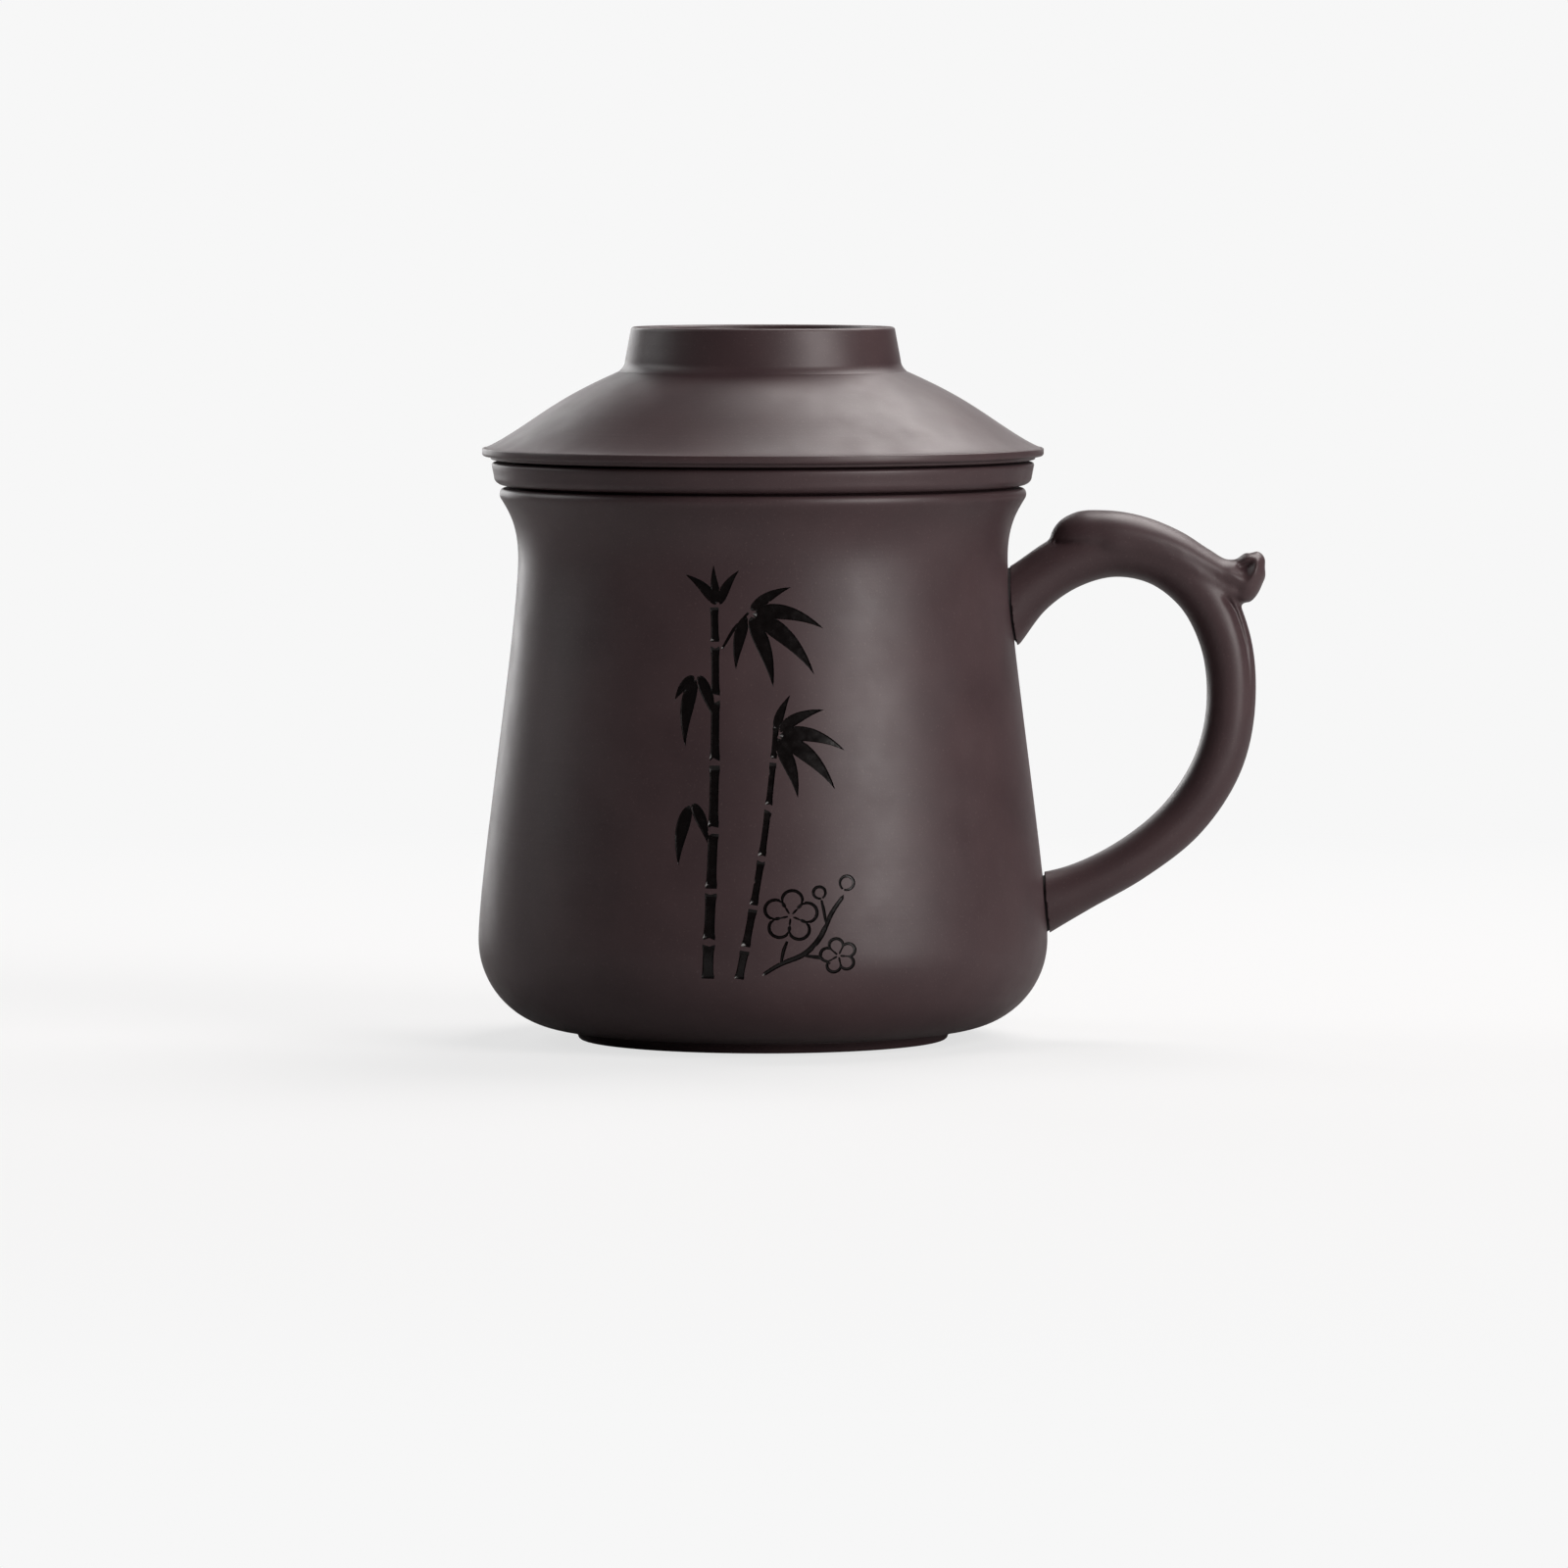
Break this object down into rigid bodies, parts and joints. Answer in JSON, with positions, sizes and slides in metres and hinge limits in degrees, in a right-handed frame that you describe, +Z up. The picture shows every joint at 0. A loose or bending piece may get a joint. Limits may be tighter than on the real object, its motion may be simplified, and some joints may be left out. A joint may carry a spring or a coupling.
{
  "type": "lidded tea mug with infuser",
  "caption": "Dark unglazed clay tea mug with a sculpted side handle, a hanging strainer cup in its mouth and a loose domed lid with a hollow ring knob.",
  "frame": {"origin": "on the mug's axis, in the plane of the foot ring's resting face", "axes": "+Z up along the mug's axis, +X towards the handle, +Y completes the right-handed frame"},
  "size_m": [0.1409, 0.1018, 0.1272],
  "materials": {
    "purple_clay": "unglazed fine clay, satin from burnishing",
    "joint_slip": "unglazed slip in the seam, darker and matt"
  },
  "bodies": {
    "mug": {"mug_body": "purple_clay", "foot_ring": "purple_clay", "handle": "purple_clay", "upper_handle_slip": "joint_slip", "lower_handle_slip": "joint_slip"},
    "infuser": {"infuser_cup": "purple_clay", "infuser_sieve": "purple_clay"},
    "lid": {"lid_dome": "purple_clay", "lid_locating_ring": "purple_clay", "lid_knob_ring": "purple_clay"}
  },
  "joints": [
    {"name": "infuser_lift", "type": "slide", "parent": "mug", "child": "infuser", "axis": [0, 0, 1], "range_m": [0, 0.09]},
    {"name": "lid_lift", "type": "slide", "parent": "infuser", "child": "lid", "axis": [0, 0, 1], "range_m": [0, 0.05]}
  ]
}
